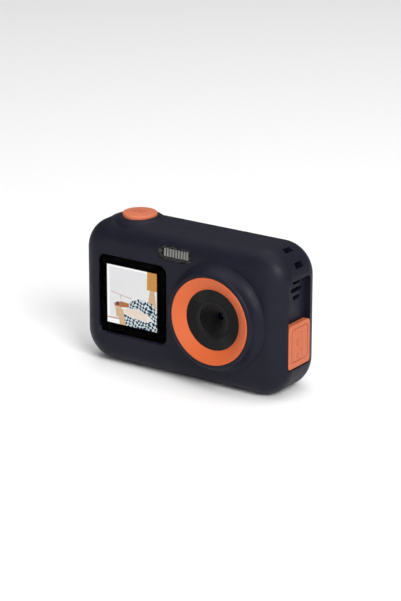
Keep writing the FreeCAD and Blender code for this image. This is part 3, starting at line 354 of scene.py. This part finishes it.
MATERIALS = {
    "body_navy": soft_touch("soft_touch_navy", NAVY),
    "trim_orange": satin_plastic("ring_orange", RING_ORANGE, 0.38),
    "button_orange": satin_plastic("button_orange", BUTTON_ORANGE, 0.36),
    "cover_orange": satin_plastic("cover_orange", COVER_ORANGE, 0.48, 0.5),
    "bezel_black": turned_gloss("turned_black", (0.0025, 0.0025, 0.003)),
    "baffle_black": soft_touch("baffle_black", (0.005, 0.005, 0.005), 0.45, 0.15),
    "lens_glass": coated_lens("coated_lens"),
    "screen_glass": optical_glass("screen_glass", WHITE, 1.03),
    "display_panel": ink("display_panel", (0.0016, 0.0016, 0.0018)),
    "lamp_clear": optical_glass("lamp_clear", (0.80, 0.80, 0.80), 1.22),
    # Painted light and shade: the lamp's bar fronts glow and the rest of the guide is painted nearly
    # black
    "lamp_diffuser": painted_glow_bars("lamp_diffuser", BAR_GREY, BAR_PAINTED_GLOW),
    "smoke_plastic": gloss_plastic("smoke_plastic", (0.012, 0.012, 0.013), 0.25),
    "brass": metal("turned_brass", (0.62, 0.44, 0.17), 0.28),
    "screw_steel": metal("zinc_steel", (0.42, 0.43, 0.45), 0.3),
    "black_steel": metal("black_oxide", (0.055, 0.055, 0.06), 0.38),
    "bright_steel": metal("stamped_steel", (0.62, 0.63, 0.65), 0.22),
    "board_green": solder_mask("solder_mask"),
    "chip_black": soft_touch("chip_black", (0.012, 0.012, 0.012), 0.6),
    "flex_amber": satin_plastic("flex_amber", (0.45, 0.17, 0.03), 0.3),
    "frame_grey": soft_touch("frame_grey", (0.05, 0.05, 0.055), 0.5),
    "battery_wrap": satin_plastic("battery_wrap", (0.25, 0.27, 0.31), 0.3),
    "wire_red": satin_plastic("wire_red", (0.45, 0.02, 0.02), 0.35),
    "rubber_black": soft_touch("rubber_black", (0.012, 0.012, 0.012), 0.65),
    "key_grey": satin_plastic("key_navy", (0.030, 0.030, 0.042), 0.40),
    "card_black": satin_plastic("card_black", (0.015, 0.015, 0.017), 0.35),
    "speaker_black": soft_touch("speaker_black", (0.012, 0.012, 0.012), 0.6),
    "filter_glass": optical_glass("filter_glass", (0.45, 0.75, 0.8)),
}

# Inks of the signs
ICON_INK = satin_plastic("mark_orange", ICON_ORANGE, 0.5)
KEY_INK = satin_plastic("mark_grey", PRINT_GREY, 0.5)


def dress_cad_nodes():
    """Every carried-over node gets its slot's material."""
    for row in frame["record"]["subparts"]:
        node = frame["nodes"][row["node"]]
        node.data.materials.clear()
        node.data.materials.append(MATERIALS[row["material_slot"]])


# ---------------------------------------------------------------- mesh helpers

def finish_piece(name, bm, material, body):
    """Turns the mesh into a named piece that moves with a body."""
    mesh = bpy.data.meshes.new(name)
    bmesh.ops.recalc_face_normals(bm, faces=bm.faces)
    bm.to_mesh(mesh)
    bm.free()
    piece = bpy.data.objects.new(name, mesh)
    bpy.context.scene.collection.objects.link(piece)
    mesh.materials.append(material)
    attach(piece, body)


def arc_points(centre, radius, start, end, count):
    """Points along an arc, angles in degrees."""
    points = []
    for i in range(count):
        angle = math.radians(start + (end - start) * i / (count - 1))
        points.append((centre[0] + radius * math.cos(angle), centre[1] + radius * math.sin(angle)))
    return points


def rounded_rectangle(centre, width, height, corner, steps=9):
    """An outline with four round corners, each drawn with that many points."""
    points = []
    for turn, (sx, sy) in enumerate(((1, 1), (-1, 1), (-1, -1), (1, -1))):
        middle = (
            centre[0] + sx * (width / 2 - corner),
            centre[1] + sy * (height / 2 - corner),
        )
        points += arc_points(middle, corner, 90 * turn, 90 * turn + 90, steps)
    return points


def slab(bm, points, place, low, high):
    """An outline raised from one depth to another; place turns (a, b, depth) into a position."""
    bottom = [bm.verts.new(place(a, b, low)) for a, b in points]
    top = [bm.verts.new(place(a, b, high)) for a, b in points]
    bm.faces.new(bottom)
    bm.faces.new(top)
    count = len(points)
    for i in range(count):
        j = (i + 1) % count
        bm.faces.new((bottom[i], bottom[j], top[j], top[i]))


def band(bm, outer, inner, place, low, high):
    """A closed frame between two outlines with equal point counts."""
    rings = [
        [bm.verts.new(place(a, b, depth)) for a, b in points]
        for points, depth in ((outer, low), (outer, high), (inner, high), (inner, low))
    ]
    count = len(outer)
    for k in range(4):
        ring, following = rings[k], rings[(k + 1) % 4]
        for i in range(count):
            j = (i + 1) % count
            bm.faces.new((ring[i], ring[j], following[j], following[i]))


def front_place(a, b, depth):
    """A place function for outlines seen from the front: a along X, b along Z, depth along Y."""
    return Vector((a, depth, b))


# ---------------------------------------------------------------- front display

def middle_xz(low, high):
    """The middle of a box as seen from the front or the back."""
    return (low.x + high.x) / 2, (low.z + high.z) / 2


def window_border(name, window, centre, active, near, far):
    """The black print behind a window, with the lit field left open, from depth near to far."""
    low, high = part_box(window)
    outer = rounded_rectangle(
        middle_xz(low, high), high.x - low.x - WINDOW_GAP, high.z - low.z - WINDOW_GAP, WINDOW_CORNER
    )
    inner = rounded_rectangle(centre, *active, PANEL_CORNER)
    bm = bmesh.new()
    band(bm, outer, inner, front_place, near, far)
    finish_piece(name, bm, MATERIALS["display_panel"], "case")


def front_screen():
    """The printed border behind the glass and the lit picture behind that."""
    glass_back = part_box("front_window")[1].y
    panel_low, panel_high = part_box("front_display")
    centre = middle_xz(panel_low, panel_high)
    gap = panel_low.y - glass_back
    window_border(
        "front_window_border", "front_window", centre, (FRONT_ACTIVE, FRONT_ACTIVE),
        *(glass_back + gap * part for part in FRONT_PRINT),
    )
    picture(centre, panel_low.y - gap * PICTURE_LIFT)


def picture_shapes():
    """A made-up still life, back to front: pale wall, lampshade, glider, mobile and checked cloth.

    Each shape's points run from -1 to 1 across the picture.
    """
    wall = glow("picture_wall", (0.76, 0.76, 0.77), PICTURE_GLOW)
    light = glow("picture_light", (0.93, 0.93, 0.93), PICTURE_GLOW)
    amber = glow("picture_amber", (0.56, 0.27, 0.07), PICTURE_GLOW)
    wood = glow("picture_wood", (0.42, 0.16, 0.06), PICTURE_GLOW, 0.3)
    pale_wood = glow("picture_pale_wood", (0.62, 0.42, 0.25), PICTURE_GLOW, 0.15)
    cream = glow("picture_cream", (0.78, 0.66, 0.56), PICTURE_GLOW)
    stick = glow("picture_stick", (0.55, 0.44, 0.40), PICTURE_GLOW)
    dusk = glow("picture_dusk", (0.10, 0.06, 0.09), PICTURE_GLOW)
    cloth = plaid("picture_cloth", (0.006, 0.012, 0.022), (0.62, 0.70, 0.72), PICTURE_GLOW)
    return (
        ("wall", wall, [(-1, -1), (1, -1), (1, 1), (-1, 1)]),
        ("window_light", light, [(-1, -1), (-0.90, -1), (-0.90, 1), (-1, 1)]),
        ("top_light", light, [(-1, 0.93), (0.6, 0.93), (0.6, 1), (-1, 1)]),
        ("table", light, [(-1, -1), (0.1, -1), (0.1, -0.86), (-1, -0.86)]),
        ("lampshade", amber, [(0.60, 0.38), (1, 0.38), (1, 1), (0.62, 1)]),
        ("vase", pale_wood, [(0.62, -0.2), (0.98, -0.2), (0.90, 0.38), (0.72, 0.38)]),
        ("cloth_upper", cloth, [
            (-0.10, -0.16), (0.25, 0.0), (0.78, -0.05), (1, -0.30), (1, -0.72), (0.62, -0.48),
            (0.2, -0.36), (-0.12, -0.38),
        ]),
        ("tray", cream, [
            (-0.30, -0.42), (0.2, -0.38), (0.62, -0.48), (0.60, -0.72), (0.0, -0.66), (-0.34, -0.56),
        ]),
        ("cloth_lower", cloth, [
            (-0.42, -0.60), (0.0, -0.68), (0.6, -0.74), (1, -0.56), (1, -1), (-0.46, -1),
        ]),
        ("table_edge", wood, [(-1, -0.84), (-0.40, -0.82), (-0.40, -0.79), (-1, -0.81)]),
        ("mobile_rod", stick, [(-0.84, 0.10), (-0.02, -0.03), (-0.02, -0.06), (-0.84, 0.07)]),
        ("mobile_wire", stick, [(-0.46, 0.03), (-0.42, 0.03), (-0.44, -0.12), (-0.46, -0.12)]),
        ("post", pale_wood, [(-0.56, -0.46), (-0.36, -0.46), (-0.26, -1), (-0.50, -1)]),
        ("glider_body", wood, [
            (-0.72, -0.30), (-0.45, -0.20), (-0.12, -0.22), (-0.12, -0.36), (-0.45, -0.40),
            (-0.70, -0.40),
        ]),
        ("glider_wing", pale_wood, [(-0.68, -0.42), (-0.42, -0.40), (-0.50, -0.78), (-0.64, -0.74)]),
        ("glider_nose", dusk, [(-0.66, -0.26), (-0.54, -0.22), (-0.52, -0.34), (-0.62, -0.36)]),
    )


def picture(centre, depth):
    """Lays the picture's shapes over each other as very thin lit sheets."""
    half = FRONT_ACTIVE / 2
    for layer, (name, material, points) in enumerate(picture_shapes(), 1):
        y = depth - PATCH_STEP * layer
        bm = bmesh.new()
        outline = [(centre[0] + u * half, centre[1] + v * half) for u, v in points]
        slab(bm, outline, front_place, y, y + PATCH_THICK)
        finish_piece("picture_" + name, bm, material, "case")


# ---------------------------------------------------------------- shutter spring

def shutter_coil():
    """The return spring, copied from its node into a piece of its own while the node itself is hidden.
    """
    node = frame["nodes"]["shutter_spring"]
    mesh = node.data.copy()
    coil = bpy.data.objects.new("shutter_coil", mesh)
    coil.matrix_world = node.matrix_world
    bpy.context.scene.collection.objects.link(coil)
    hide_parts("shutter_spring")
    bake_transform(coil)


# ---------------------------------------------------------------- rear display

def rear_screen():
    """The printed border behind the rear glass; the display itself is off."""
    low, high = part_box("rear_window")
    gap = low.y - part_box("rear_display")[1].y
    window_border(
        "rear_window_border", "rear_window", middle_xz(low, high), REAR_ACTIVE,
        *(low.y - gap * part for part in REAR_PRINT),
    )


# ---------------------------------------------------------------- raised signs

ACROSS = Vector((1, 0, 0))
DEEP = Vector((0, 1, 0))
UP = Vector((0, 0, 1))


def surface_place(node_name, axes, way):
    """A place function that lays (a, b) on a node's surface, seen against the direction of way."""
    node = frame["nodes"][node_name]
    corners = [node.matrix_world @ v.co for v in node.data.vertices]
    surface = BVHTree.FromPolygons(corners, [tuple(p.vertices) for p in node.data.polygons])

    def place(a, b, depth):
        start = axes[0] * a + axes[1] * b + way * CAST_START
        hit = surface.ray_cast(start, -way)[0]
        return hit + way * depth

    return place


def marks(name, node_name, body, material, axes, way, outlines):
    """Thin raised marks, each a ring between two outlines or one filled outline."""
    place = surface_place(node_name, axes, way)
    bm = bmesh.new()
    for outer, inner in outlines:
        if inner:
            band(bm, outer, inner, place, -MARK_ROOT, MARK_HEIGHT)
        else:
            slab(bm, outer, place, -MARK_ROOT, MARK_HEIGHT)
    finish_piece(name, bm, material, body)


def circle(centre, radius, count=40):
    """An outline of evenly spaced points, with no point twice."""
    return arc_points(centre, radius, 0, 360 * (count - 1) / count, count)


def ring_mark(centre, radius, width):
    """A ring of that line width."""
    return circle(centre, radius), circle(centre, radius - width)


def frame_mark(centre, width, height, line):
    """A rounded frame of that line width."""
    return (
        rounded_rectangle(centre, width, height, 0.25 * MM, 4),
        rounded_rectangle(centre, width - 2 * line, height - 2 * line, 0.12 * MM, 4),
    )


def bar_mark(centre, width, height):
    """A filled bar with round ends."""
    return rounded_rectangle(centre, width, height, min(width, height) * 0.45, 4), None


def triangle_mark(centre, radius, turn):
    """A filled triangle with a corner towards that angle."""
    return arc_points(centre, radius, turn, turn + 240, 3), None


def button_marks():
    """A plain picture frame round a ring: the sign for taking a picture."""
    low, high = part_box("shutter_button")
    centre = ((low.x + high.x) / 2, (low.y + high.y) / 2)
    line = 0.28 * MM
    outlines = [
        frame_mark(centre, 4.6 * MM, 3.2 * MM, line),
        ring_mark(centre, 1.0 * MM, line),
    ]
    marks(
        "button_mark", "shutter_button", "shutter", ICON_INK,
        (ACROSS, DEEP), UP, outlines,
    )


def cover_marks():
    """Signs for the two ports behind the flap: a large and a small frame, each beside a row of bars."""
    low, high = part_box("port_cover")
    middle = (low.y + high.y) / 2
    line = 0.22 * MM
    frame_y = middle - 1.4 * MM
    bar_y = middle + 1.3 * MM
    pitch = 1.0 * MM
    outlines = [
        frame_mark((frame_y, 21.6 * MM), 1.5 * MM, 2.6 * MM, line),
        frame_mark((frame_y, 16.6 * MM), 1.3 * MM, 2.0 * MM, line),
    ]
    for top, count in ((25.0 * MM, 5), (18.4 * MM, 3)):
        outlines += [bar_mark((bar_y, top - pitch * i), 0.8 * MM, 0.35 * MM) for i in range(count)]
    marks(
        "cover_mark", "port_cover", "port_flap", ICON_INK,
        (DEEP, UP), ACROSS, outlines,
    )


def key_outlines(key, centre):
    """The sign on one key. The keys are read from behind, so left is towards +X."""
    line = 0.22 * MM
    thick_line = 0.25 * MM
    arrows = {"key_up": 90, "key_down": 270, "key_left": 0, "key_right": 180}
    if key in arrows:
        return [triangle_mark(centre, 0.9 * MM, arrows[key])]
    if key == "key_ok":
        return [ring_mark(centre, 1.2 * MM, thick_line)]
    if key == "key_power":
        return [ring_mark(centre, 1.1 * MM, thick_line), bar_mark(centre, thick_line, 1.1 * MM)]
    return [frame_mark(centre, 2.2 * MM, 1.6 * MM, line), bar_mark(centre, 1.0 * MM, thick_line)]


def key_marks():
    """Arrows on the four outer keys, a ring on the middle one, and plain signs on the other two."""
    for row in frame["record"]["subparts"]:
        key = row["node"]
        # Only a key is a body of its own, under its own name.
        if key not in frame["bodies"]:
            continue
        low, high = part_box(key)
        material = ICON_INK if key == "key_ok" else KEY_INK
        marks(
            key + "_mark", key, key, material,
            (ACROSS, UP), DEEP, key_outlines(key, middle_xz(low, high)),
        )


# ---------------------------------------------------------------- camera, light and floor

def softbox(name, place, side, power):
    """A square soft light that faces the object."""
    light = bpy.data.lights.new(name, "AREA")
    light.shape = "SQUARE"
    light.size = side
    light.energy = power
    lamp = bpy.data.objects.new(name, light)
    lamp.location = place
    lamp.rotation_mode = "QUATERNION"
    lamp.rotation_quaternion = (VIEW_TARGET - Vector(place)).to_track_quat("-Z", "Y")
    bpy.context.scene.collection.objects.link(lamp)


def pale_floor():
    """A plain white floor under the object."""
    mesh = bpy.data.meshes.new("floor")
    bm = bmesh.new()
    bmesh.ops.create_grid(bm, x_segments=1, y_segments=1, size=FLOOR_HALF_SIZE)
    bm.to_mesh(mesh)
    bm.free()
    floor = bpy.data.objects.new("floor", mesh)
    bpy.context.scene.collection.objects.link(floor)
    g = Graph("pale_floor")
    g.set(Base_Color=(*FLOOR_WHITE, 1.0), Roughness=0.9)
    mesh.materials.append(g.material)


def studio():
    """A white room, three softboxes and the floor."""
    scene = bpy.context.scene
    scene.view_settings.view_transform = "Standard"
    world = bpy.data.worlds.new("soft_room")
    world.use_nodes = True
    room = world.node_tree.nodes["Background"]
    room.inputs["Color"].default_value = (*WHITE, 1.0)
    room.inputs["Strength"].default_value = ROOM_STRENGTH
    scene.world = world
    for name, (place, side, power) in SOFTBOXES.items():
        softbox(name, place, side, power)
    pale_floor()


def add_camera():
    """The camera at its place round the object."""
    scene = bpy.context.scene
    lens = bpy.data.cameras.new("camera")
    lens.lens = VIEW_LENS
    lens.shift_x, lens.shift_y = VIEW_SHIFT
    lens.clip_start, lens.clip_end = 0.05, 10.0
    camera = bpy.data.objects.new("camera", lens)
    forward = Vector((
        -math.sin(VIEW_AZIMUTH) * math.cos(VIEW_ELEVATION),
        math.cos(VIEW_AZIMUTH) * math.cos(VIEW_ELEVATION),
        -math.sin(VIEW_ELEVATION),
    ))
    camera.location = VIEW_TARGET - forward * VIEW_DISTANCE
    camera.rotation_mode = "QUATERNION"
    camera.rotation_quaternion = forward.to_track_quat("-Z", "Y")
    scene.collection.objects.link(camera)
    scene.camera = camera


add_camera()
studio()
dress_cad_nodes()
front_screen()
rear_screen()
shutter_coil()
button_marks()
cover_marks()
key_marks()
